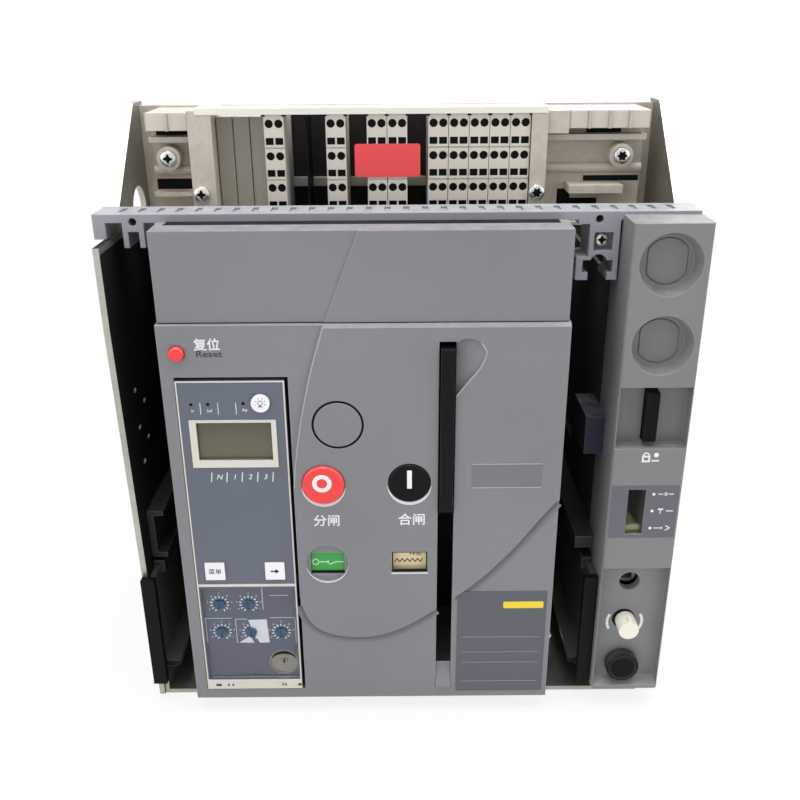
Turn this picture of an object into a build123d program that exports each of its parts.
from build123d import *
import os
from math import acos, atan2, cos, hypot, pi, radians, sin

# A three-pole drawout circuit breaker, racked in, with its contacts open.
# x runs to the right, y to the back and z up, in mm.
# The origin is the centre of the base bolts, on the underside of the chassis.

# Chassis
bolt_centre_depth = 140.0
front_y = -bolt_centre_depth          # face of the front cover
chassis_height = 322.0
chassis_back = front_y + 250.0
plate_thickness = 3.0
plate_top_front = front_y + 6.0
plate_foot_front = front_y + 16.0
plate_knee_height = 226.0
shoulder_height = 265.2
rear_shoulder_height = 285.0
wing_top_front = front_y + 90.0
wing_top_back = front_y + 107.0
lifting_eye_depth = 81.0
lifting_eye_height = 268.4
lifting_eye_radius = 12.7
plate_slots = ((32.4, 184.3), (46.4, 173), (32.7, 163.2), (45.6, 151.9), (33.7, 142.6), (41.3, 69.6))
plate_slot_length = 4.2
plate_slot_width = 2.5
base_front = front_y + 17.0
base_thickness = 2.5
base_flange = 12.0
bolt_spacing_x = 182.0
bolt_spacing_y = 150.0
bolt_hole = 9.0
racking_bay_width = 29.4
left_gap = 18.65                      # between the left plate and the pole housing
right_gap = 21.95
inner_wall_thickness = 2.5
inner_wall_height = 240.0

# Clearances
slide_gap = 0.3
running_gap = 0.05

# Crosspiece
crosspiece_front = front_y + 24.8
crosspiece_back = front_y + 45.0
crosspiece_overhang = 4.6
crosspiece_bottom = 273.0
crosspiece_thickness = 4.0
screw_boss_hole = 3.8
pocket_depth = 6.0
vent_slot_width = 3.0
vent_slot_count = 30

# Tower
tower_front = front_y + 2.9
tower_back = front_y + 40.0
tower_bottom = 12.8
tower_top = 275.6
tower_wall = 3.0
tower_cavity_front = front_y + 14.0
tower_recess = 6.0
tab_recess = 8.0
recess_margin = 0.8
tab_recess_bottom = 162.6
tab_recess_top = 195.6
knob_recess_top = 92.3
lock_recess_diameter = 30.0
lock_floor_diameter = 25.0
lock_blank_diameter = 22.0
lock_blank_flats = 18.6
lock_heights = (217.0, 256.4)
lock_offset = 18.7
window_width = 9.1
window_left = 9.6
window_bottom = 113.4
window_height = 26.1
crank_offset = 16.9
crank_height = 80.3
crank_hole_diameter = 11.2
release_height = 55.3
release_diameter = 10.8
release_reach = 10.3
release_travel = 6.0
handle_height = 27.1
stored_knob_diameter = 18.2
stored_knob_reach = 6.5
stored_rod_diameter = 8.4
stored_rod_length = 170.0
padlock_tab_width = 6.0
padlock_tab_bottom = 165.0
padlock_tab_height = 27.0
padlock_travel = 15.0
lug_length = 10.0

# Rails and guides
rail_bottom = 16.0
rail_height = 65.0
rail_web = 3.0
rail_back = front_y + 206.0
rail_ledge_height = 24.0
rail_ledge_width = 12.2
rail_ledge_thickness = 3.0
rail_cap_bottom = 14.0
rail_cap_height = 69.0
rail_cap_front = front_y + 8.0
rail_cap_thickness = 4.0
left_cap_reach = 4.5
right_cap_reach = 7.6
guide_front = front_y + 26.0
guide_back = front_y + 200.0
guide_width = 6.0
guide_thickness = 3.0
channel_bottom = 87.0
left_channel_height = 29.0
channel_reach = 8.4
channel_wall = 3.0
strip_bottom = 91.0
strip_height = 7.0
strip_reach = 10.5

# Breaker body
pole_pitch = 70.0
housing_end_wall = 3.0
housing_front = front_y + 84.0
housing_back = front_y + 206.0
housing_bottom = 14.0
housing_top = 254.0
chamber_partition = 16.0
chamber_bottom = 40.0
housing_wall = 4.0
housing_back_wall = 6.0
chute_bottom = 214.0
chute_top = 259.0
chute_partition = 12.4
chute_fit = 0.2
chute_wall = 2.5
chute_plate_count = 8
chute_plate = 2.0

# Power path
bar_clearance = 2.0
bar_thickness = 10.0
upper_bar_height = 205.0
lower_bar_height = 90.0
blade_reach = 20.0
moulding_front = front_y + 211.0
well_wall = 6.0
well_partition = 10.0
well_height = 30.0
connector_gap = 4.0
connector_reach = 27.0
connector_hole = 11.0
connector_hole_spacing = 25.0
connector_hole_inset = 12.0
finger_count = 5
finger_width = 7.0
finger_inset = 1.5
finger_thickness = 4.0
finger_length = 28.0
shutter_thickness = 2.0
shutter_height = 32.0
racking_travel = 45.0

# Contact mechanism, in the side view
shaft_room = 16.0             # from the pole housing's front to the pole shaft
arm_pin_radius = 4.0
arm_depth = 14.0
arm_open_angle = 20.0
arm_inset = 6.0
arm_slot_half_width = 10.5
arm_lug = 10.5
arm_link_height = 48.0
tip_thickness = 1.7
tip_gap = 0.3
shaft_ahead = 38.0            # of the arms' pivot
shaft_above = 36.0
shaft_diameter = 16.0
lever_length = 20.0
link_length = 20.2
link_pin_radius = 2.5
link_plate = 3.0

# Spring mechanism
frame_plate = 2.5
frame_half_width = 30.0
frame_front = front_y + 30.0
frame_bottom = 62.0
frame_top = 205.0
cam_shaft_depth = 62.0
cam_shaft_height = 120.0
cam_shaft_diameter = 10.0
ratchet_radius = 19.0
ratchet_teeth = 18
trip_shaft_depth = 44.0
trip_shaft_height = 172.0
trip_shaft_diameter = 8.0

# Front covers
cover_inset = 4.0
cover_bottom = 9.5
cover_seam = 229.7
cover_back = front_y + 24.5
cover_wall = 3.0
cover_bevel = 2.4
shield_rise = 1.5
upper_cover_inset = 1.0
upper_cover_setback = 3.0
upper_cover_top = 273.5
seam_gap = 0.6
shield_seam_gap = 20.35                # from the trip unit's side
shield_lean = 16.95
handle_slot_gap = 14.35
handle_slot_width = 8.3
handle_slot_bottom = 16.4
handle_slot_ramp = 8.0
handle_slot_top = 221.0
case_top = 257.0

# Controls on the front
button_gap = 0.25
off_button_gap = 16.8
off_button_height = 145.3
button_spacing = 43.4
on_button_height = 146.0
push_button_diameter = 21.3
off_button_proud = 1.5
on_button_proud = 0.4
reset_button_margin = 9.05
reset_button_height = 215.5
reset_button_diameter = 7.4
blank_shift = 8.3
blank_height = 178.3
blank_diameter = 25.8
blank_ring = 1.2
contact_window_height = 98.0
contact_recess_height = 98.6
contact_recess_diameter = 22.0
contact_recess_depth = 1.2
flag_pocket = 2.6
flag_lap = 0.6
flag_end = 0.8
contact_flag_width = 17.7
contact_flag_height = 13.3
contact_flag_travel = 15.0
spring_window_height = 99.25
spring_window_width = 18.8
spring_window_opening = 12.3
spring_flag_travel = 14.0
flag_thickness = 1.2
charging_pivot_depth = 34.0
charging_pivot_height = 118.0
charging_handle_top = 217.6
charging_grip_bottom = 130.2
charging_handle_proud = 2.0

# Trip unit
trip_half_width = 26.5
trip_margin = 6.45
trip_bottom = 15.6
trip_height = 185.8
trip_setback = 1.5
trip_fit = 0.3
trip_side_gap = 1.7
trip_top_gap = 1.8
display_width = 42.3
display_bottom = 154.9
display_height = 25.7
display_border = 3.4
display_depth = 3.0
dial_diameter = 5.8
dial_places = ((-15.9, 55.5), (-0.2, 55.5), (-15.9, 37.3), (0.2, 37.2), (16.4, 37.0))
setting_bottom = 22.5
setting_height = 60.5
setting_inset = 1.5
setting_depth = 2.5
setting_cover_thickness = 1.2
key_size = 10.4
key_bottom = 88.35
key_spacing = 31.6
key_shift = -0.1
lamp_button_diameter = 9.2
lamp_button_x = 14.3
lamp_button_height = 189.8
rating_plug_diameter = 15.4
rating_plug_x = 16.8
rating_plug_height = 32.4

# Auxiliary terminals
terminal_front = front_y + 66.0
terminal_back = front_y + 101.0
terminal_floor = 262.4
terminal_floor_thickness = 1.6
terminal_top = 318.0
terminal_count = 13
terminal_left_margin = 70.5
terminal_right_margin = 69.6
terminal_gap = 0.15
terminal_post = 12.0
terminal_places = (0, 3, 5, 6, 8, 9, 10, 11, 12)
terminal_row_pitch = 15.8
terminal_first_row = 4.4
terminal_hole_drop = 8.5
terminal_square_height = 3.5
terminal_blank_count = 3
cell_bottom = 310.3
cover_screw_height = 296.4
post_screw_height = 279.2

# Lines that the sizes above set
chute_width = pole_pitch - chute_partition
chamber_width = pole_pitch - chamber_partition
bar_width = chamber_width - 2 * bar_clearance
well_width = pole_pitch - well_partition
arm_half_width = bar_width / 2 - arm_inset
housing_half_width = 1.5 * pole_pitch - chute_partition / 2 + chute_fit + housing_end_wall
cover_half_width = housing_half_width - cover_inset
chassis_width = 2 * (plate_thickness + housing_half_width) + left_gap + right_gap + racking_bay_width
left_face = -chassis_width / 2 + plate_thickness
right_face = chassis_width / 2 - plate_thickness
wall_face = right_face - racking_bay_width
left_cap_inner = left_face + left_cap_reach
right_cap_inner = wall_face - right_cap_reach
tower_right = chassis_width / 2 + crosspiece_overhang
breaker_x = left_face + left_gap + housing_half_width
pole_xs = [breaker_x + pole_pitch * step for step in (-1, 0, 1)]
bar_heights = (upper_bar_height, lower_bar_height)
housing_left = breaker_x - housing_half_width
housing_right = breaker_x + housing_half_width
cover_left = breaker_x - cover_half_width
cover_right = breaker_x + cover_half_width
blade_tip = housing_back + blade_reach
crank_x = wall_face + crank_offset
knob_x = crank_x - 0.5
tower_mid_x = wall_face + lock_offset
recess_floor = tower_front + tower_recess
arm_pivot_y = housing_front + shaft_room + shaft_ahead
arm_pivot_z = lower_bar_height
shaft_y = arm_pivot_y - shaft_ahead
shaft_height = arm_pivot_z + shaft_above
cam_y = front_y + cam_shaft_depth
trip_left = cover_left + trip_margin
trip_x = trip_left + trip_half_width
trip_right = trip_x + trip_half_width
trip_front = front_y + trip_setback
off_x = trip_right + off_button_gap
on_x = off_x + button_spacing
reset_x = cover_left + reset_button_margin
blank_x = off_x + blank_shift
shield_seam_x = trip_right + shield_seam_gap
trip_top = trip_bottom + trip_height
frame_x = breaker_x
cover_screw_seat = terminal_front + 5.0
slot_left = on_x + handle_slot_gap
slot_right = slot_left + handle_slot_width
shutter_front = moulding_front - slide_gap - shutter_thickness
shutter_half_width = housing_half_width + 2.0
tongue_height = 124.0
lug_front = front_y + 152.0
terminal_first_x = left_face + terminal_left_margin
terminal_last_x = right_face - terminal_right_margin
terminal_pitch = (terminal_last_x - terminal_first_x) / terminal_count
terminal_round_hole = terminal_pitch / 2 - 0.85
terminal_square_width = terminal_pitch / 2 - 1.15
left_cover_start, left_cover_end = left_face + 10.9, left_face + 44.6
right_cover_end = right_face - 9.6
cover_screw_xs = (left_face + 20.3, right_face - 21.8)
post_screw_xs = (left_face + 37.1, terminal_last_x + 4.2)


def box(x0, x1, y0, y1, z0, z1):
    # A block between two opposite corners
    low_x, high_x = sorted((x0, x1))
    middle = Pos((low_x + high_x) / 2, (y0 + y1) / 2, (z0 + z1) / 2)
    return middle * Box(high_x - low_x, y1 - y0, z1 - z0)


def across(outline, x0, x1):
    # Runs a side-view outline (y, z) from one x to the other
    low_x, high_x = sorted((x0, x1))
    return extrude(Pos(low_x, 0, 0) * (Plane.YZ * outline), high_x - low_x, dir=(1, 0, 0))


def along(outline, y0, y1):
    # Runs a front-view outline (x, z) back from y0 to y1
    return extrude(Pos(0, y0, 0) * (Plane.XZ * outline), y1 - y0, dir=(0, 1, 0))


def upward(outline, z0, z1):
    # Runs a plan outline (x, y) up from z0 to z1
    return extrude(Pos(0, 0, z0) * outline, z1 - z0, dir=(0, 0, 1))


def rod_x(y, z, radius, x0, x1):
    return across(Pos(y, z) * Circle(radius), x0, x1)


def rod_y(x, z, radius, y0, y1):
    return along(Pos(x, z) * Circle(radius), y0, y1)


def rod_z(x, y, radius, z0, z1):
    return upward(Pos(x, y) * Circle(radius), z0, z1)


def link_outline(start, start_radius, end, end_radius):
    # Two round eyes joined by their outer tangents
    run = hypot(end[0] - start[0], end[1] - start[1])
    heading = atan2(end[1] - start[1], end[0] - start[0])
    spread = acos((start_radius - end_radius) / run)
    corners = []
    for centre, radius, turn in ((start, start_radius, spread), (end, end_radius, spread),
                                 (end, end_radius, -spread), (start, start_radius, -spread)):
        corners.append((centre[0] + radius * cos(heading + turn), centre[1] + radius * sin(heading + turn)))
    eyes = Pos(*start) * Circle(start_radius) + Pos(*end) * Circle(end_radius)
    return Polygon(*corners) + eyes


def turned(shape, y, z, angle):
    # Turns a shape about a pivot that runs along x
    return Pos(0, y, z) * Rot(angle, 0, 0) * Pos(0, -y, -z) * shape


def group(shapes):
    return Compound([solid for shape in shapes for solid in shape.solids()])


def base_plate():
    sheet = box(left_face, right_face, base_front, chassis_back, 0, base_thickness)
    for face, side in ((left_face, 1), (right_face, -1)):
        sheet += box(face, face + side * base_thickness, base_front, moulding_front, 0, base_flange)
    for x in (-bolt_spacing_x / 2, bolt_spacing_x / 2):
        for y in (-bolt_spacing_y / 2, bolt_spacing_y / 2):
            sheet -= rod_z(x, y, bolt_hole / 2, -1, base_thickness + 1)
    return sheet


def plate_outline(front_edge):
    # The wing that rises behind the crosspiece shields the terminals
    wing_foot = crosspiece_back + slide_gap
    return Polygon(*front_edge, (wing_foot, shoulder_height),
                   (wing_foot, crosspiece_bottom + crosspiece_thickness), (wing_top_front, chassis_height),
                   (wing_top_back, chassis_height), (wing_top_back, rear_shoulder_height),
                   (chassis_back, rear_shoulder_height), (chassis_back, 0))


def left_side_plate():
    edge = ((plate_foot_front, 0), (plate_top_front, plate_knee_height), (plate_top_front, shoulder_height))
    plate = across(plate_outline(edge), left_face - plate_thickness, left_face)
    outer, inner = left_face - plate_thickness - 1, left_face + 1
    for depth, height in plate_slots:
        plate -= across(Pos(front_y + depth, height) * Ellipse(plate_slot_length / 2, plate_slot_width / 2),
                        outer, inner)
    return plate - rod_x(front_y + lifting_eye_depth, lifting_eye_height, lifting_eye_radius, outer, inner)


def right_side_plate():
    edge = ((tower_back, 0), (tower_back, shoulder_height))
    return across(plate_outline(edge), right_face, right_face + plate_thickness)


def inner_wall():
    # Carries the right rail and the racking screw's two bearings
    wall_back = wall_face + inner_wall_thickness
    wall = box(wall_face, wall_back, tower_back, moulding_front, base_thickness, inner_wall_height)
    wall -= box(wall_face - 1, wall_back + 1, lug_front - racking_travel - 1, lug_front + lug_length + 1.5,
                tongue_height - 4.5, tongue_height + 4.5)
    for y in (tower_back + 1, moulding_front - 11):
        bearing = box(wall_back, crank_x + 11, y, y + 3, crank_height - 11, crank_height + 11)
        wall += bearing - rod_y(crank_x, crank_height, 5 + running_gap, y - 1, y + 4)
    return wall


def rail_guides():
    # Strips that trap the rails, with the C channel and the plain strip above them
    guides = []
    for face, side in ((left_face, 1), (wall_face, -1)):
        lip_start = face + side * (slide_gap * 2 + rail_web)
        edge = face + side * guide_width
        foot_top = rail_bottom - slide_gap
        foot = box(face, edge, guide_front, guide_back, base_flange, foot_top)
        foot += box(lip_start, edge, guide_front, guide_back, foot_top, foot_top + 4)
        head_bottom = rail_bottom + rail_height + slide_gap
        head = box(face, edge, guide_front, guide_back, head_bottom, head_bottom + guide_thickness)
        head += box(lip_start, edge, guide_front, guide_back, head_bottom - 4, head_bottom)
        guides += [foot, head]
    reach = left_face + channel_reach
    channel = box(left_face, reach, guide_front, guide_back, channel_bottom,
                  channel_bottom + left_channel_height)
    channel -= box(left_face + channel_wall, reach + 1, guide_front - 1, guide_back + 1,
                   channel_bottom + channel_wall, channel_bottom + left_channel_height - channel_wall)
    strip = box(wall_face - strip_reach, wall_face, guide_front, guide_back, strip_bottom,
                strip_bottom + strip_height)
    return group(guides + [channel, strip])


def rail(face, side, cap_outer, cap_inner):
    start = face + side * slide_gap
    front = rail_cap_front + rail_cap_thickness
    shape = box(start, start + side * rail_web, front, rail_back, rail_bottom, rail_bottom + rail_height)
    shape += box(start, face + side * rail_ledge_width, front, rail_back, rail_ledge_height,
                 rail_ledge_height + rail_ledge_thickness)
    cap = box(cap_outer, cap_inner, rail_cap_front, front, rail_cap_bottom, rail_cap_bottom + rail_cap_height)
    return shape + cap


def rear_moulding():
    moulding = box(left_face, right_face, moulding_front, chassis_back, base_thickness, rear_shoulder_height)
    for x in pole_xs:
        for z in bar_heights:
            moulding -= box(x - well_width / 2, x + well_width / 2, moulding_front - 1,
                            chassis_back - well_wall,
                            z - well_height / 2, z + well_height / 2)
            moulding -= box(x - bar_width / 2, x + bar_width / 2, moulding_front - 1, chassis_back + 1,
                            z - bar_thickness / 2, z + bar_thickness / 2)
    for side in (-1, 1):
        edge = breaker_x + side * (shutter_half_width + slide_gap)
        guide = box(edge, edge + side * 4, shutter_front - slide_gap - 1.2, moulding_front, 24,
                    rear_shoulder_height - 10)
        guide += box(edge - side * 1.6, edge + side * 4, shutter_front - slide_gap - 1.2,
                     shutter_front - slide_gap,
                     24, rear_shoulder_height - 10)
        moulding += guide
    return moulding


def rear_connectors():
    bars = []
    start = blade_tip + connector_gap
    end = chassis_back + connector_reach
    for x in pole_xs:
        for z in bar_heights:
            bar = box(x - bar_width / 2, x + bar_width / 2, start, end, z - bar_thickness / 2,
                      z + bar_thickness / 2)
            for step in (-0.5, 0.5):
                bar -= rod_z(x + step * connector_hole_spacing, end - connector_hole_inset,
                             connector_hole / 2,
                             z - bar_thickness, z + bar_thickness)
            bars.append(bar)
    return group(bars)


def finger_outline(side):
    # A sprung finger that bears on both bars near its ends
    middle = blade_tip + connector_gap / 2
    bar_face = bar_thickness / 2
    heights = ((-0.5, slide_gap), (-0.25, slide_gap), (-0.18, 1.2), (0.18, 1.2), (0.25, 0), (0.5, 0))
    inner = [(middle + share * finger_length, side * (bar_face + lift)) for share, lift in heights]
    outer = side * (bar_face + 1.2 + finger_thickness)
    return Polygon(*inner, (middle + finger_length / 2, outer), (middle - finger_length / 2, outer))


def disconnect_clusters():
    clusters = []
    middle = blade_tip + connector_gap / 2
    span = bar_width - 2 * finger_inset - finger_width
    finger_pitch = span / (finger_count - 1)
    outer = bar_thickness / 2 + 1.2 + finger_thickness
    for x in pole_xs:
        for z in bar_heights:
            cage = box(x - bar_width / 2 - 3, x + bar_width / 2 + 3, middle - 1.5, middle + 1.5,
                       z - outer - 1.5, z + outer + 1.5)
            cage -= box(x - bar_width / 2 - 0.5, x + bar_width / 2 + 0.5, middle - 2, middle + 2,
                        z - bar_thickness / 2 - 1.2, z + bar_thickness / 2 + 1.2)
            for number in range(finger_count):
                left = x - span / 2 + number * finger_pitch - finger_width / 2
                for side in (-1, 1):
                    cage += across(Pos(0, z) * finger_outline(side), left, left + finger_width)
            clusters.append(cage)
    return group(clusters)


def shutter(bottom):
    return box(breaker_x - shutter_half_width, breaker_x + shutter_half_width, shutter_front,
               shutter_front + shutter_thickness, bottom, bottom + shutter_height)


def top_crosspiece():
    top = crosspiece_bottom + crosspiece_thickness
    outer = chassis_width / 2 + crosspiece_overhang
    piece = box(-outer, outer, crosspiece_front, crosspiece_back, crosspiece_bottom, top)
    # Ribs that sit on the shoulders of the side plates
    piece += box(-outer, left_face - 1.7, crosspiece_front, crosspiece_back, shoulder_height,
                 crosspiece_bottom)
    piece += box(right_face, outer, tower_back + slide_gap, crosspiece_back, shoulder_height,
                 crosspiece_bottom)
    # Left hanger, an H in the front view
    hanger_x = left_face + 11.4
    hanger = box(hanger_x - 5.1, hanger_x + 5.1, crosspiece_front, crosspiece_back, 261, crosspiece_bottom)
    hanger -= box(hanger_x - 2.6, hanger_x + 2.6, crosspiece_front - 1, crosspiece_back + 1, 260, 268.7)
    piece += hanger
    # Right hanger with its T slot
    slot_x = wall_face - 11.1
    bracket = box(slot_x - 10.1, wall_face - 1, crosspiece_front, crosspiece_back, 243.7, crosspiece_bottom)
    bracket -= box(slot_x - 2.1, wall_face - 4.1, crosspiece_front - 1, crosspiece_front + pocket_depth,
                   258, 267)
    bracket -= box(slot_x - 11, slot_x - 4.5, crosspiece_front - 1, crosspiece_back + 1, 255, 271)
    bracket -= box(slot_x - 6.9, slot_x + 7.6, crosspiece_front - 1, crosspiece_back + 1, 247.4, 253.5)
    bracket -= box(slot_x - 4.1, slot_x + 5.2, crosspiece_front - 1, crosspiece_back + 1, 243, 247.5)
    bracket -= rod_y(slot_x + 0.7, 252.4, 4, crosspiece_front - 1, crosspiece_back + 1)
    piece += bracket
    for x in (hanger_x, slot_x - 0.1):
        piece -= rod_y(x, crosspiece_bottom + 0.4, screw_boss_hole / 2, crosspiece_front - 1,
                       crosspiece_front + 14)
    pitch = 2 * right_face / vent_slot_count
    for number in range(vent_slot_count):
        x = left_face + pitch * (number + 0.5)
        piece -= box(x - vent_slot_width / 2, x + vent_slot_width / 2, crosspiece_front + 6,
                     crosspiece_back - 4,
                     top - 1.2, top + 1)
    return piece


def tower_front_cut(z0, z1, depth):
    # A shallow field in the tower's face with narrow margins at both sides
    return box(wall_face + recess_margin, tower_right - recess_margin, tower_front - 1, tower_front + depth,
               z0, z1)


def tower_housing():
    shape = box(wall_face, tower_right, tower_front, tower_back, tower_bottom, tower_top)
    shape = fillet(shape.edges().filter_by(Axis.Z).sort_by(Axis.Y)[:2], 2.0)
    shape -= box(wall_face - 1, tower_right + 1, crosspiece_front - slide_gap, tower_back + 1,
                 crosspiece_bottom - slide_gap, tower_top + 1)
    inner_left, inner_right = wall_face + tower_wall, tower_right - tower_wall
    shape -= box(inner_left, inner_right, tower_cavity_front, tower_back + 1, tower_bottom + tower_wall,
                 crosspiece_bottom - tower_wall - slide_gap)
    shape -= tower_front_cut(tab_recess_bottom, tab_recess_top, tab_recess)
    sill = Polygon((tower_front - 1, knob_recess_top), (recess_floor, knob_recess_top),
                   (recess_floor, tower_bottom + 4.5), (tower_front - 1, tower_bottom + 1.5))
    shape -= across(sill, wall_face + recess_margin, tower_right - recess_margin)
    for z in lock_heights:
        funnel = Cone(lock_recess_diameter / 2, lock_floor_diameter / 2, tab_recess + 0.01)
        shape -= Pos(tower_mid_x, tower_front + tab_recess / 2, z) * Rot(-90, 0, 0) * funnel
        seat = blank_outline(lock_blank_diameter / 2 + 0.25, lock_blank_flats / 2 + 0.25)
        floor = tower_front + tab_recess
        shape -= along(Pos(tower_mid_x, z) * seat, floor - 1, floor + 2)
    window_x = wall_face + window_left
    shape -= box(window_x, window_x + window_width, tower_front - 1, tower_cavity_front + 1, window_bottom,
                 window_bottom + window_height)
    shape -= rod_y(crank_x, crank_height, crank_hole_diameter / 2, tower_front, tower_cavity_front + 1)
    shape -= rod_y(knob_x, release_height, release_diameter / 2 + slide_gap, tower_front,
                   tower_cavity_front + 1)
    shape -= rod_y(knob_x, handle_height, stored_rod_diameter / 2 + slide_gap, tower_front,
                   tower_cavity_front + 1)
    tab_x = tower_mid_x - 0.8
    half = padlock_tab_width / 2 + slide_gap
    shape -= box(tab_x - half, tab_x + half, tower_front, tower_cavity_front + 1,
                 padlock_tab_bottom - slide_gap,
                 padlock_tab_bottom + padlock_tab_height + slide_gap)
    return shape


def blank_outline(radius, half_flat):
    return Circle(radius) & Rectangle(2 * half_flat, 4 * radius)


def lock_blanks():
    floor = tower_front + tab_recess
    disc = blank_outline(lock_blank_diameter / 2, lock_blank_flats / 2)
    return group([along(Pos(tower_mid_x, z) * disc, floor - 0.3, floor + 2) for z in lock_heights])


def padlock_tab():
    x = tower_mid_x - 0.8
    top = padlock_tab_bottom + padlock_tab_height
    tab = box(x - padlock_tab_width / 2, x + padlock_tab_width / 2, tower_front + 1.6, tower_back - 4,
              padlock_tab_bottom, top)
    tab = fillet(tab.edges().filter_by(Axis.X).sort_by(Axis.Y)[:2], 2.0)
    hole_y = tower_front + padlock_travel - 2
    hole = Pos(hole_y, (padlock_tab_bottom + top) / 2) * SlotOverall(14, 7, rotation=90)
    return tab - across(hole, x - padlock_tab_width, x + padlock_tab_width)


def position_indicator():
    # A flag in the window and the stem that links it to the racking carriage
    left = wall_face + window_left + slide_gap
    right = wall_face + window_left + window_width - slide_gap
    bottom = window_bottom + slide_gap
    flag = box(left, right, tower_front + 4, tower_front + 5.6, bottom, bottom + 3)
    stem_x = (left + right) / 2
    return flag + box(stem_x - 2, stem_x + 2, tower_front + 5.6, tower_back - 5, bottom + 0.5, bottom + 2.5)


def release_knob():
    radius = release_diameter / 2
    knob = rod_y(knob_x, release_height, radius, recess_floor - release_reach, tower_cavity_front + 8)
    fin_end = recess_floor - release_travel - 1
    knob += box(knob_x - 1, knob_x + 1, recess_floor - release_reach, fin_end, release_height,
                release_height + radius + 2.4)
    stop = tower_cavity_front + slide_gap
    return knob + rod_y(knob_x, release_height, radius + 2, stop, stop + 2)


def racking_handle():
    knob_back = recess_floor - slide_gap
    knob = rod_y(knob_x, handle_height, stored_knob_diameter / 2, recess_floor - stored_knob_reach, knob_back)
    rod = rod_y(knob_x, handle_height, stored_rod_diameter / 2, knob_back, knob_back + stored_rod_length)
    return knob + rod


def racking_screw():
    # The front end takes a square crank
    start = tower_cavity_front + 2
    screw = rod_y(crank_x, crank_height, 5, start, moulding_front - 6)
    for y in (tower_back + 1 - 2.3, tower_back + 4 + slide_gap):
        screw += rod_y(crank_x, crank_height, 7, y, y + 2)
    return screw - box(crank_x - 2.8, crank_x + 2.8, start - 1, start + 9, crank_height - 2.8,
                       crank_height + 2.8)


def racking_carriage():
    # The nut on the screw, with the lug that reaches through the inner wall to the breaker
    bay_left = wall_face + inner_wall_thickness + slide_gap
    nut_front = lug_front - 2
    nut = box(bay_left + 2, right_face - 3, nut_front, nut_front + 22, crank_height - 10, crank_height + 11)
    nut -= rod_y(crank_x, crank_height, 5 + running_gap, nut_front - 1, nut_front + 23)
    arm = box(bay_left + 2, bay_left + 8, nut_front, nut_front + 22, crank_height + 10, tongue_height + 4)
    lug = box(housing_right + 5, bay_left + 4, lug_front, lug_front + lug_length, tongue_height - 4,
              tongue_height + 4)
    return nut + arm + lug


def keying_block():
    # Stands on the inner wall and turns away a breaker of another rating
    return box(wall_face - 10, wall_face, front_y + 25, front_y + 57, 149.5, 170.5)


def end_cover(x0, x1, cells, cell_start):
    # A moulded cover with a bar across its face and a row of arched cells on top
    front, back = terminal_front + 2, terminal_front + 14
    cover = box(x0, x1, back, terminal_back, terminal_floor + terminal_floor_thickness, terminal_top + 1)
    cover += box(x0, x1, terminal_front + 6, back, cell_bottom - 6.1, cell_bottom - 3.3)
    cover += rod_x(back - 1, cell_bottom - 20.8, 2.4, x0, x1)
    cover += box(cell_start, x1, front, back, cell_bottom, terminal_top + 1)
    pitch = (x1 - cell_start) / cells
    radius = (pitch - 2.4) / 2
    for number in range(cells):
        x = cell_start + pitch * (number + 0.5)
        crown = terminal_top - radius
        cover -= box(x - radius, x + radius, front - 1, front + 6, cell_bottom - 1, crown)
        cover -= rod_y(x, crown, radius, front - 1, front + 6)
        if number:
            edge = x - pitch / 2
            cover += box(edge - 0.5, edge + 0.5, front - 1.5, front, cell_bottom, terminal_top + 1)
    return cover


def terminal_support():
    wing_back = terminal_back + 4
    floor_top = terminal_floor + terminal_floor_thickness
    support = box(left_face, right_face, terminal_front - 2, wing_back, terminal_floor, floor_top)
    support += box(left_face, right_face, terminal_back, wing_back, terminal_floor, terminal_top + 2)
    post_start = left_cover_end - terminal_post
    support += end_cover(left_cover_start, post_start, 2, left_cover_start)
    support += box(left_cover_start, post_start, terminal_front + 6, terminal_front + 14, 277, 279)
    block_start = terminal_last_x + 8.5
    support += end_cover(block_start, right_cover_end, 4, block_start + 10.8)
    support += box(block_start, block_start + 10.8, terminal_front + 1, terminal_front + 14,
                   cell_bottom - 2.3,
                   terminal_top + 1)
    for x in cover_screw_xs:
        support += rod_y(x, cover_screw_height, 6, cover_screw_seat, terminal_front + 15)
    # Plain posts beside the terminals and blank plates in the empty places
    for x0, x1 in ((post_start, left_cover_end), (terminal_last_x, block_start)):
        support += box(x0, x1, terminal_front - 1, terminal_back, floor_top, terminal_top + 2)
    pitch = (terminal_first_x - left_cover_end) / terminal_blank_count
    for number in range(terminal_blank_count):
        x = left_cover_end + pitch * number
        support += box(x + 0.5, x + pitch, terminal_front + 10, terminal_back, floor_top, terminal_top - 2)
    # A strip over the terminals, and the tab of the right cover
    support += box(left_cover_end, terminal_last_x, terminal_front + 1, terminal_front + 14,
                   terminal_top + slide_gap, terminal_top + 3.2)
    support += box(block_start + 12.5, right_cover_end - 11.5, terminal_front - 1, terminal_front + 14,
                   278.4, 282.4)
    return support


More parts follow.
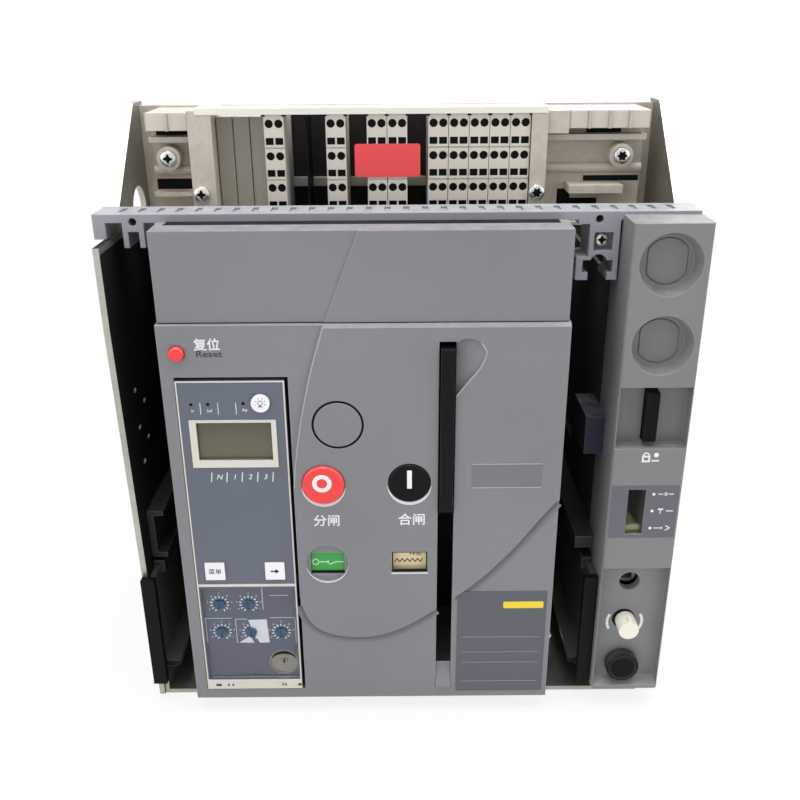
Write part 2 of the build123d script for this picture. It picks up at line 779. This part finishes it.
def terminal_block(x):
    # A round wire opening over a square release opening, three rows of two
    block = box(x + terminal_gap, x + terminal_pitch - terminal_gap, terminal_front, terminal_back,
                terminal_floor + terminal_floor_thickness, terminal_top)
    reach = 8.0
    for row in range(3):
        round_z = terminal_top - terminal_first_row - terminal_row_pitch * row
        square_z = round_z - terminal_hole_drop
        for step in (-0.235, 0.235):
            hole_x = x + terminal_pitch * (0.5 + step)
            opening = Pos(hole_x, round_z) * RegularPolygon(terminal_round_hole / 2, 10)
            block -= along(opening, terminal_front - 1, terminal_front + reach)
            block -= box(hole_x - terminal_square_width / 2, hole_x + terminal_square_width / 2,
                         terminal_front - 1,
                         terminal_front + reach, square_z - terminal_square_height / 2,
                         square_z + terminal_square_height / 2)
        if row:
            step_z = round_z + terminal_row_pitch / 4
            block -= box(x, x + terminal_pitch, terminal_front - 1, terminal_front + 0.8, step_z - 0.4,
                         step_z + 0.4)
    return block


def terminal_blocks():
    return group([terminal_block(terminal_first_x + terminal_pitch * place) for place in terminal_places])


def pan_screw(x, z, y, radius):
    # The pan head of a screw driven from the front
    head = rod_y(x, z, radius, y - 2.2, y)
    return chamfer(head.edges().sort_by(Axis.Y)[:1], 1.1)


def frame_screws():
    screws = [pan_screw(x, cover_screw_height, cover_screw_seat, 4.2) for x in cover_screw_xs]
    screws += [pan_screw(x, post_screw_height, terminal_front - 1, 4.2) for x in post_screw_xs]
    screws.append(pan_screw(wall_face - 8.6, 262.5, crosspiece_front + pocket_depth, 3.6))
    return group(screws)


def pole_housing():
    shape = box(housing_left, housing_right, housing_front, housing_back, housing_bottom, housing_top)
    inner_front, inner_back = housing_front + housing_wall, housing_back - housing_back_wall
    for x in pole_xs:
        shape -= box(x - chamber_width / 2, x + chamber_width / 2, inner_front, inner_back, chamber_bottom,
                     chute_bottom + 1)
        half = chute_width / 2 + chute_fit
        shape -= box(x - half, x + half, inner_front, inner_back, chute_bottom, housing_top + 1)
        for z in bar_heights:
            shape -= box(x - bar_width / 2, x + bar_width / 2, inner_back - 1, housing_back + 1,
                         z - bar_thickness / 2, z + bar_thickness / 2)
    end_gap = 2.5
    shape -= rod_x(shaft_y, shaft_height, shaft_diameter / 2 + running_gap,
                   pole_xs[0] - chamber_width / 2 - end_gap,
                   pole_xs[2] + chamber_width / 2 + end_gap)
    # Opening for the lever that the closing spring drives
    x = pole_xs[1] + 15
    shape -= box(x - 4, x + 4, housing_front - 1, inner_front + 1, shaft_height - 34, shaft_height + 8)
    return shape


def carrying_feet():
    # Feet that ride on the rail ledges, and the tongue that the racking lug takes
    feet = []
    bottom = rail_ledge_height + rail_ledge_thickness + slide_gap
    for cap_inner, side in ((left_cap_inner, 1), (right_cap_inner, -1)):
        flank = breaker_x - side * housing_half_width
        inner = cap_inner + side * 2 * slide_gap
        for y in (housing_front + 8, housing_back - 48):
            feet.append(box(flank, inner, y, y + 36, bottom, bottom + 10))
    tongue = box(housing_right, wall_face - 8.5, lug_front - slide_gap - 11, lug_front - slide_gap,
                 tongue_height - 5, tongue_height + 5)
    return group(feet + [tongue])


def chute_case(x):
    half = chute_width / 2
    inner_front, inner_back = housing_front + housing_wall, housing_back - housing_back_wall
    case = box(x - half, x + half, inner_front + 4, inner_back, chute_bottom, chute_top)
    case -= box(x - half + chute_wall, x + half - chute_wall, inner_front + 4 + chute_wall,
                inner_back - chute_wall,
                chute_bottom - 1, chute_top - chute_wall)
    for number in range(5):
        y = inner_front + 22 + number * 17
        case -= box(x - half + 8, x + half - 8, y, y + 6, chute_top - chute_wall - 1, chute_top + 1)
    return case


def chute_plates(x):
    # Steel plates with a V notch over the contacts
    half = chute_width / 2 - chute_wall
    inner_front, inner_back = housing_front + housing_wall, housing_back - housing_back_wall
    pitch = (inner_back - inner_front - 18) / chute_plate_count
    top = chute_top - chute_wall - 2
    outline = Polygon((x - half, chute_bottom + 3), (x - 8, chute_bottom + 3), (x, chute_bottom + 20),
                      (x + 8, chute_bottom + 3), (x + half, chute_bottom + 3), (x + half, top), (x - half,
                                                                                                 top))
    plates = []
    for number in range(chute_plate_count):
        y = inner_front + 12 + pitch * number
        plates.append(along(outline, y, y + chute_plate))
    return plates


def upper_contacts():
    front = arm_pivot_y + arm_depth / 2 + tip_thickness + tip_gap
    contacts = []
    for x in pole_xs:
        bar = box(x - bar_width / 2, x + bar_width / 2, front + 3, blade_tip,
                  upper_bar_height - bar_thickness / 2,
                  upper_bar_height + bar_thickness / 2)
        half = arm_half_width + 1
        contacts.append(bar + box(x - half, x + half, front, front + 3, upper_bar_height - 8,
                                  upper_bar_height + 8))
    return group(contacts)


def lower_contacts():
    # Each bar ends in two cheeks that carry the contact arm's pivot
    contacts = []
    for x in pole_xs:
        bar = box(x - bar_width / 2, x + bar_width / 2, arm_pivot_y + 14, blade_tip,
                  lower_bar_height - bar_thickness / 2, lower_bar_height + bar_thickness / 2)
        for side in (-1, 1):
            outer = x + side * bar_width / 2
            bar += box(outer - side * 3.7, outer, arm_pivot_y - 10, arm_pivot_y + 20, arm_pivot_z - 12,
                       arm_pivot_z + 12)
        contacts.append(bar - rod_x(arm_pivot_y, arm_pivot_z, arm_pin_radius, x - 40, x + 40))
    return group(contacts)


def current_transformers():
    front, back = arm_pivot_y + 24, housing_back - housing_back_wall - 8
    rings = []
    for x in pole_xs:
        half = chamber_width / 2 - slide_gap
        ring = box(x - half, x + half, front, back, lower_bar_height - 22, lower_bar_height + 22)
        ring -= box(x - bar_width / 2, x + bar_width / 2, front - 1, back + 1,
                    lower_bar_height - bar_thickness / 2, lower_bar_height + bar_thickness / 2)
        rings.append(ring)
    return group(rings)


def contact_arm(x):
    # Two finger groups on one hub, drawn closed and then turned open
    y, z = arm_pivot_y, arm_pivot_z
    front, back = y - arm_depth / 2, y + arm_depth / 2
    link_z = z + arm_link_height
    side = Polygon((front, z), (back, z), (back, upper_bar_height + 7), (front + 3, upper_bar_height + 9),
                   (front, upper_bar_height))
    side += Pos(y, link_z) * RegularPolygon(arm_lug, 8)
    left, right = x - arm_half_width, x + arm_half_width
    arm = across(side, left, right)
    arm -= box(x - arm_slot_half_width, x + arm_slot_half_width, y - 20, y + 20, z + 12,
               upper_bar_height - 16)
    arm += rod_x(y, z, 9, left, right)
    arm += rod_x(y, z, arm_pin_radius - running_gap, x - bar_width / 2, x + bar_width / 2)
    arm += box(left, right, back, back + tip_thickness, upper_bar_height - 7, upper_bar_height + 7)
    slot = Pos(y, link_z) * SlotOverall(2 * link_pin_radius + 6.6, 2 * link_pin_radius + 1.6)
    arm -= across(slot, left - 1, right + 1)
    return turned(arm, y, z, arm_open_angle)


def link_pins():
    # Lever pin and arm pin with the contacts open, from the lengths of lever, link and arm
    lean = radians(arm_open_angle)
    arm_pin = (arm_pivot_y - arm_link_height * sin(lean), arm_pivot_z + arm_link_height * cos(lean))
    across_y, across_z = arm_pin[0] - shaft_y, arm_pin[1] - shaft_height
    span = hypot(across_y, across_z)
    bend = acos((lever_length ** 2 + span ** 2 - link_length ** 2) / (2 * lever_length * span))
    heading = atan2(across_z, across_y) - bend
    lever_pin = (shaft_y + lever_length * cos(heading), shaft_height + lever_length * sin(heading))
    return lever_pin, arm_pin


def pole_shaft():
    lever_pin = link_pins()[0]
    shaft = rod_x(shaft_y, shaft_height, shaft_diameter / 2, pole_xs[0] - chamber_width / 2 - 2,
                  pole_xs[2] + chamber_width / 2 + 2)
    centre = (shaft_y, shaft_height)
    for x in pole_xs:
        lever = across(link_outline(centre, 10.5, lever_pin, 5), x - 4, x + 4)
        shaft += lever - rod_x(*lever_pin, link_pin_radius + running_gap, x - 5, x + 5)
    drive_pin = (shaft_y - 24, shaft_height - 4)
    drive = across(link_outline(centre, 10.5, drive_pin, 5), pole_xs[1] + 12, pole_xs[1] + 18)
    return shaft + (drive - rod_x(*drive_pin, 2.5, pole_xs[1] + 11, pole_xs[1] + 19))


def drive_links():
    lever_pin, arm_pin = link_pins()
    links = []
    for x in pole_xs:
        link = rod_x(*lever_pin, link_pin_radius, x - 4.5 - link_plate, x + 4.5 + link_plate)
        pin_half = arm_half_width - 4
        link += rod_x(*arm_pin, link_pin_radius, x - pin_half, x + pin_half)
        for side in (-1, 1):
            start = x + side * 4.5
            link += across(link_outline(lever_pin, 4.5, arm_pin, 4.5), start, start + side * link_plate)
        links.append(link)
    return group(links)


def mechanism_frame():
    # Two steel plates on the pole housing, tied by three bars, with the charging handle's stud
    frame = None
    for side in (-1, 1):
        inner = frame_x + side * frame_half_width - side * frame_plate
        plate = box(inner, inner + side * frame_plate, frame_front, housing_front, frame_bottom, frame_top)
        plate -= rod_x(cam_y, cam_shaft_height, cam_shaft_diameter / 2 + running_gap, inner - 5, inner + 5)
        plate -= rod_x(front_y + trip_shaft_depth, trip_shaft_height, trip_shaft_diameter / 2 + running_gap,
                       inner - 5, inner + 5)
        frame = plate if frame is None else frame + plate
    half = frame_half_width - frame_plate
    for y, z in ((frame_front + 7, frame_top - 10), (housing_front - 7, frame_top - 10),
                 (housing_front - 7, frame_bottom + 10)):
        frame += rod_x(y, z, 4, frame_x - half, frame_x + half)
    stud_end = slot_right + 2
    frame += rod_x(front_y + charging_pivot_depth, charging_pivot_height, 4, frame_x + frame_half_width,
                   stud_end)
    return frame


def ratchet_outline():
    tip, root = ratchet_radius, ratchet_radius - 2.4
    points = []
    for tooth in range(ratchet_teeth):
        start = 2 * pi * tooth / ratchet_teeth
        points.append((tip * cos(start), tip * sin(start)))
        points.append((root * cos(start + 0.06), root * sin(start + 0.06)))
    return Polygon(*points)


def cam_shaft():
    right_plate = frame_x + frame_half_width
    shaft = rod_x(cam_y, cam_shaft_height, cam_shaft_diameter / 2, frame_x - frame_half_width - 4,
                  right_plate + 4.6)
    ratchet_left = right_plate + 1
    shaft += across(Pos(cam_y, cam_shaft_height) * ratchet_outline(), ratchet_left, ratchet_left + 3.2)
    cam = link_outline((cam_y, cam_shaft_height), 10, (cam_y - 4, cam_shaft_height + 9), 9)
    return shaft + across(cam, frame_x - 17, frame_x - 11)


def closing_spring():
    # Ribbed to show the coils, round its guide rod
    x, y = frame_x - 14, cam_y + 2
    bottom, pitch, coils = frame_bottom + 4, 5.0, 6
    outer, inner = 8.5, 6.5
    spring = upward(Pos(x, y) * RegularPolygon(inner, 12), bottom, bottom + pitch * coils)
    for coil in range(coils):
        start = bottom + pitch * (coil + 0.25)
        spring += upward(Pos(x, y) * RegularPolygon(outer, 12), start, start + pitch / 2)
    tray = box(x - 13.5, x + 12, y - 9, housing_front, bottom - 2.5, bottom)
    return spring + tray


def trip_shaft():
    y, z = front_y + trip_shaft_depth, trip_shaft_height
    shaft = rod_x(y, z, trip_shaft_diameter / 2, frame_x - frame_half_width - 2,
                  frame_x + frame_half_width + 2)
    tip = (off_stem_end() + slide_gap + 3, off_button_height)
    return shaft + across(link_outline((y, z), 6, tip, 3), off_x - 4, off_x + 4)


def off_stem_end():
    return front_y + trip_shaft_depth - 8.8


def charging_motor():
    left = slot_right + 4
    right = cover_right - 6
    case = box(left, left + 12, front_y + 42, housing_front, 62, 116)
    case += rod_x(front_y + 62, 88, 19, left + 12, right)
    return case + box(left + 20, right - 6, front_y + 62, housing_front, 80, 96)


def release_coils():
    coils = []
    for number in range(3):
        left = frame_x - 31 + 21 * number
        coil = box(left, left + 20, front_y + 46, housing_front, 208, 250)
        coils.append(coil + rod_z(left + 10, front_y + 62, 3, frame_top - 4, 208))
    return group(coils)


def shield_outline(top):
    # The raised shield below a level line: a long arc down the left, round the bottom and up to the right
    flank = [(trip_right + x, z) for x, z in ((10.35, 196.3), (0.15, 100.7))]
    low = [(trip_right + x, z) for x,
           z in ((1.65, 78.2), (8.55, 59.4), (28.05, 51.6), (51.15, 55.0), (74.35, 69.4))]
    run = cover_right - 1 - slot_right
    low += [(slot_right + share * run, z) for share, z in ((0.27, 87.7), (0.71, 114.7), (1.0, 135.2))]
    seam = (shield_seam_x, cover_seam + 1.4)
    flank_arc = ThreePointArc(seam, *flank)
    sweep = Spline(flank[1], *low, tangents=((0, -1), (0.62, 0.78)))
    closing = Polyline(low[-1], (cover_right, low[-1][1]), (cover_right, top), (seam[0], top), seam)
    return make_face(flank_arc + sweep + closing)


def lower_cover():
    base_front_y = front_y + shield_rise
    shape = box(cover_left, cover_right, base_front_y, cover_back, cover_bottom, cover_seam)
    shield = along(shield_outline(cover_seam), front_y, base_front_y + 0.5)
    shape += shield & box(cover_left, cover_right, front_y - 1, cover_back, cover_bottom, cover_seam)
    bevel = Polygon((front_y - 1, cover_seam - cover_bevel), (front_y + cover_bevel + 1, cover_seam + 1),
                    (front_y - 1, cover_seam + 1))
    shape -= across(bevel, cover_left - 1, cover_right + 1)
    shape -= box(cover_left + cover_wall, cover_right - cover_wall, base_front_y + cover_wall, cover_back + 1,
                 cover_bottom + cover_wall, cover_seam - cover_wall)
    inner = base_front_y + cover_wall + 1
    shape -= box(trip_left - trip_fit, trip_right + trip_side_gap, front_y - 1, inner, trip_bottom - trip_fit,
                 trip_top + trip_top_gap)
    ramp_top = handle_slot_bottom + handle_slot_ramp
    slot = Polygon((front_y - 1, handle_slot_bottom), (base_front_y, handle_slot_bottom), (inner, ramp_top),
                   (inner, handle_slot_top), (front_y - 1, handle_slot_top))
    shape -= across(slot, slot_left, slot_right)
    for x, z, diameter in ((off_x, off_button_height, push_button_diameter),
                           (on_x, on_button_height, push_button_diameter),
                           (reset_x, reset_button_height, reset_button_diameter)):
        shape -= rod_y(x, z, diameter / 2 + button_gap, front_y - 1, inner)
    # Knock-out for a key lock
    blank = Circle(blank_diameter / 2) - Circle(blank_diameter / 2 - blank_ring)
    shape -= along(Pos(blank_x, blank_height) * blank, front_y - 1, front_y + 0.8)
    # Windows of the two flags, each with a pocket behind it for the flag's travel
    shape -= rod_y(off_x + 0.3, contact_recess_height, contact_recess_diameter / 2, front_y - 1,
                   front_y + contact_recess_depth)
    for x, z, width, opening, travel in flag_windows():
        shape -= box(x - width / 2, x + width / 2, front_y - 1, inner, z - opening / 2, z + opening / 2)
        half = width / 2 + flag_lap + slide_gap
        reach = opening / 2 + travel + flag_end + slide_gap
        shape -= box(x - half, x + half, front_y + flag_pocket, inner, z - reach, z + reach)
    # Finger scoop beside the charging handle, deepest at the slot
    start, rim = slot_right - 1, slot_right + 14.5
    rise = Spline((start, 219.0), (slot_right + 6.5, 222.4), (rim - 0.6, 217.2), (slot_right + 11.6, 208.0),
                  (slot_right + 6.0, 200.4), (start, 191.0))
    scoop = make_face(rise + Line((start, 191.0), (start, 219.0)))
    wedge = Polygon((start, front_y - 1), (rim, front_y - 1), (rim, front_y + 0.2), (start, front_y + 3.7))
    return shape - (along(scoop, front_y - 1, inner) & upward(wedge, 180, 230))


def flag_windows():
    # Centre, height, width, opening and travel of the contact flag and the spring flag
    return ((off_x + 0.3, contact_window_height, contact_flag_width, contact_flag_height,
             contact_flag_travel),
            (on_x, spring_window_height, spring_window_width, spring_window_opening, spring_flag_travel))


def upper_cover():
    left, right = cover_left + upper_cover_inset, cover_right - upper_cover_inset
    bottom = cover_seam + seam_gap
    face = front_y + upper_cover_setback
    shape = box(left, right, face, cover_back, bottom, upper_cover_top)
    raised = Polygon((shield_seam_x, bottom), (right, bottom), (right, upper_cover_top),
                     (shield_seam_x + shield_lean, upper_cover_top))
    shape += along(raised, face - 0.9, face)
    return shape - box(left + cover_wall, right - cover_wall, face + cover_wall, cover_back + 1,
                       bottom + cover_wall, upper_cover_top - cover_wall)


def front_case():
    # The moulded case between the covers and the pole housing
    shape = box(cover_left, cover_right, cover_back, housing_front, cover_bottom, case_top)
    return shape - box(cover_left + cover_wall, cover_right - cover_wall, cover_back - 1, housing_front + 1,
                       cover_bottom + cover_wall, case_top - cover_wall)


def push_button(x, z, diameter, proud, stem_end):
    button = rod_y(x, z, diameter / 2, front_y - proud, front_y + 8)
    button = chamfer(button.edges().filter_by(GeomType.CIRCLE).sort_by(Axis.Y)[:1], 0.7)
    return button + rod_y(x, z, min(4, diameter / 2), front_y + 8, stem_end)


def charging_handle():
    y, z = front_y + charging_pivot_depth, charging_pivot_height
    grip_front = front_y - charging_handle_proud
    outline = Polygon((grip_front, charging_handle_top), (front_y + 10, charging_handle_top),
                      (front_y + 15, charging_handle_top - 12), (front_y + 20, z + 24), (y, z + 11.5),
                      (y - 6, z - 9), (grip_front, charging_grip_bottom))
    handle = across(outline, slot_left + 0.8, slot_right - 0.8)
    handle += rod_x(y, z, 12, slot_left + 0.8, slot_right - 0.8)
    return handle - rod_x(y, z, 4 + running_gap, slot_left - 1, slot_right + 1)


def flag(x, z, width, opening, travel):
    # Behind its window, with the second field below the first
    front = front_y + flag_pocket + slide_gap
    return box(x - width / 2 - flag_lap, x + width / 2 + flag_lap, front, front + flag_thickness,
               z - opening / 2 - travel - flag_end, z + opening / 2 + flag_end)


def trip_unit():
    shape = box(trip_left, trip_right, trip_front, housing_front, trip_bottom, trip_top)
    # Display
    x = trip_left + 5 + display_width / 2
    glass_left = x - display_width / 2 + display_border
    glass_right = x + display_width / 2 - display_border + 1.4
    shape -= box(glass_left, glass_right, trip_front - 1, trip_front + display_depth,
                 display_bottom + display_border + 0.6, display_bottom + display_height - 1.2)
    # Setting field behind the clear cover
    top = setting_bottom + setting_height
    shape -= box(trip_left + setting_inset, trip_right - setting_inset, trip_front - 1,
                 trip_front + setting_depth,
                 setting_bottom, top)
    pin_y, pin_z = setting_hinge()
    shape -= rod_x(pin_y, pin_z, 0.9 + running_gap, trip_left + 0.5, trip_right - 0.5)
    for dx, dz in dial_places:
        shape -= rod_y(trip_x + dx, trip_bottom + dz, dial_diameter / 2 + running_gap, trip_front,
                       trip_front + 8)
    shape -= rod_y(trip_x + rating_plug_x, rating_plug_height, rating_plug_diameter / 2, trip_front,
                   trip_front + setting_depth + 1.5)
    # Key pockets and the lamp button's bore
    for x0 in key_lefts():
        gap = 0.3
        shape -= box(x0 - gap, x0 + key_size + gap, trip_front - 1, trip_front + 3.8, key_bottom - gap,
                     key_bottom + key_size + gap)
    return shape - rod_y(trip_x + lamp_button_x, lamp_button_height, lamp_button_diameter / 2 + slide_gap,
                         trip_front - 1, trip_front + 5)


def key_lefts():
    middle = trip_x + key_shift
    return middle - key_spacing / 2 - key_size / 2, middle + key_spacing / 2 - key_size / 2


def key(x0):
    return box(x0, x0 + key_size, trip_front - 0.7, trip_front + 2.7, key_bottom, key_bottom + key_size)


def lamp_button():
    return rod_y(trip_x + lamp_button_x, lamp_button_height, lamp_button_diameter / 2, trip_front - 1.2,
                 trip_front + 3.7)


def setting_hinge():
    return trip_front + 1.1, setting_bottom + 1.7


def setting_cover():
    pin_y, pin_z = setting_hinge()
    left, right = trip_left + setting_inset + slide_gap, trip_right - setting_inset - slide_gap
    back = trip_front + setting_cover_thickness - slide_gap
    cover = box(left, right, trip_front - slide_gap, back, setting_bottom + 0.9,
                setting_bottom + setting_height - slide_gap)
    return cover + rod_x(pin_y, pin_z, 0.9, trip_left + 0.8, trip_right - 0.8)


def dial(place):
    x, z = trip_x + place[0], trip_bottom + place[1]
    start = trip_front + setting_cover_thickness
    knob = rod_y(x, z, dial_diameter / 2, start, trip_front + 7.7)
    return knob - box(x - 0.5, x + 0.5, start - 1, start + 0.8, z - 2.6, z + 2.6)


def write(name, shape):
    export_step(shape, f"parts/{name}.step")


os.makedirs("parts", exist_ok=True)
write("base_plate", base_plate())
write("left_side_plate", left_side_plate())
write("right_side_plate", right_side_plate())
write("inner_wall", inner_wall())
write("rail_guides", rail_guides())
write("left_rail", rail(left_face, 1, left_face - plate_thickness, left_cap_inner))
write("right_rail", rail(wall_face, -1, wall_face - slide_gap, right_cap_inner))
write("rear_moulding", rear_moulding())
write("rear_connectors", rear_connectors())
write("disconnect_clusters", disconnect_clusters())
write("upper_shutter", shutter(upper_bar_height + bar_thickness / 2 + 19))
write("lower_shutter", shutter(lower_bar_height - bar_thickness / 2 - 19 - shutter_height))
write("top_crosspiece", top_crosspiece())
write("tower_housing", tower_housing())
write("lock_blanks", lock_blanks())
write("padlock_tab", padlock_tab())
write("position_indicator", position_indicator())
write("release_knob", release_knob())
write("racking_handle", racking_handle())
write("racking_screw", racking_screw())
write("racking_carriage", racking_carriage())
write("keying_block", keying_block())
write("terminal_support", terminal_support())
write("terminal_blocks", terminal_blocks())
write("frame_screws", frame_screws())
write("pole_housing", pole_housing())
write("carrying_feet", carrying_feet())
write("arc_chutes", group([chute_case(x) for x in pole_xs]))
write("arc_chute_plates", group([plate for x in pole_xs for plate in chute_plates(x)]))
write("upper_contacts", upper_contacts())
write("lower_contacts", lower_contacts())
write("current_transformers", current_transformers())
write("contact_arms", group([contact_arm(x) for x in pole_xs]))
write("pole_shaft", pole_shaft())
write("drive_links", drive_links())
write("mechanism_frame", mechanism_frame())
write("cam_shaft", cam_shaft())
write("closing_spring", closing_spring())
write("trip_shaft", trip_shaft())
write("charging_motor", charging_motor())
write("release_coils", release_coils())
write("front_case", front_case())
write("lower_cover", lower_cover())
write("upper_cover", upper_cover())
write("off_button",
      push_button(off_x, off_button_height, push_button_diameter, off_button_proud, off_stem_end()))
write("on_button", push_button(on_x, on_button_height, push_button_diameter, on_button_proud, front_y + 34))
write("reset_button", push_button(reset_x, reset_button_height, reset_button_diameter, 1.0, front_y + 30))
write("charging_handle", charging_handle())
write("contact_flag", flag(*flag_windows()[0]))
write("spring_flag", flag(*flag_windows()[1]))
write("trip_unit", trip_unit())
write("setting_cover", setting_cover())
write("left_key", key(key_lefts()[0]))
write("right_key", key(key_lefts()[1]))
write("lamp_button", lamp_button())
for number, place in enumerate(dial_places, 1):
    write(f"dial_{number}", dial(place))
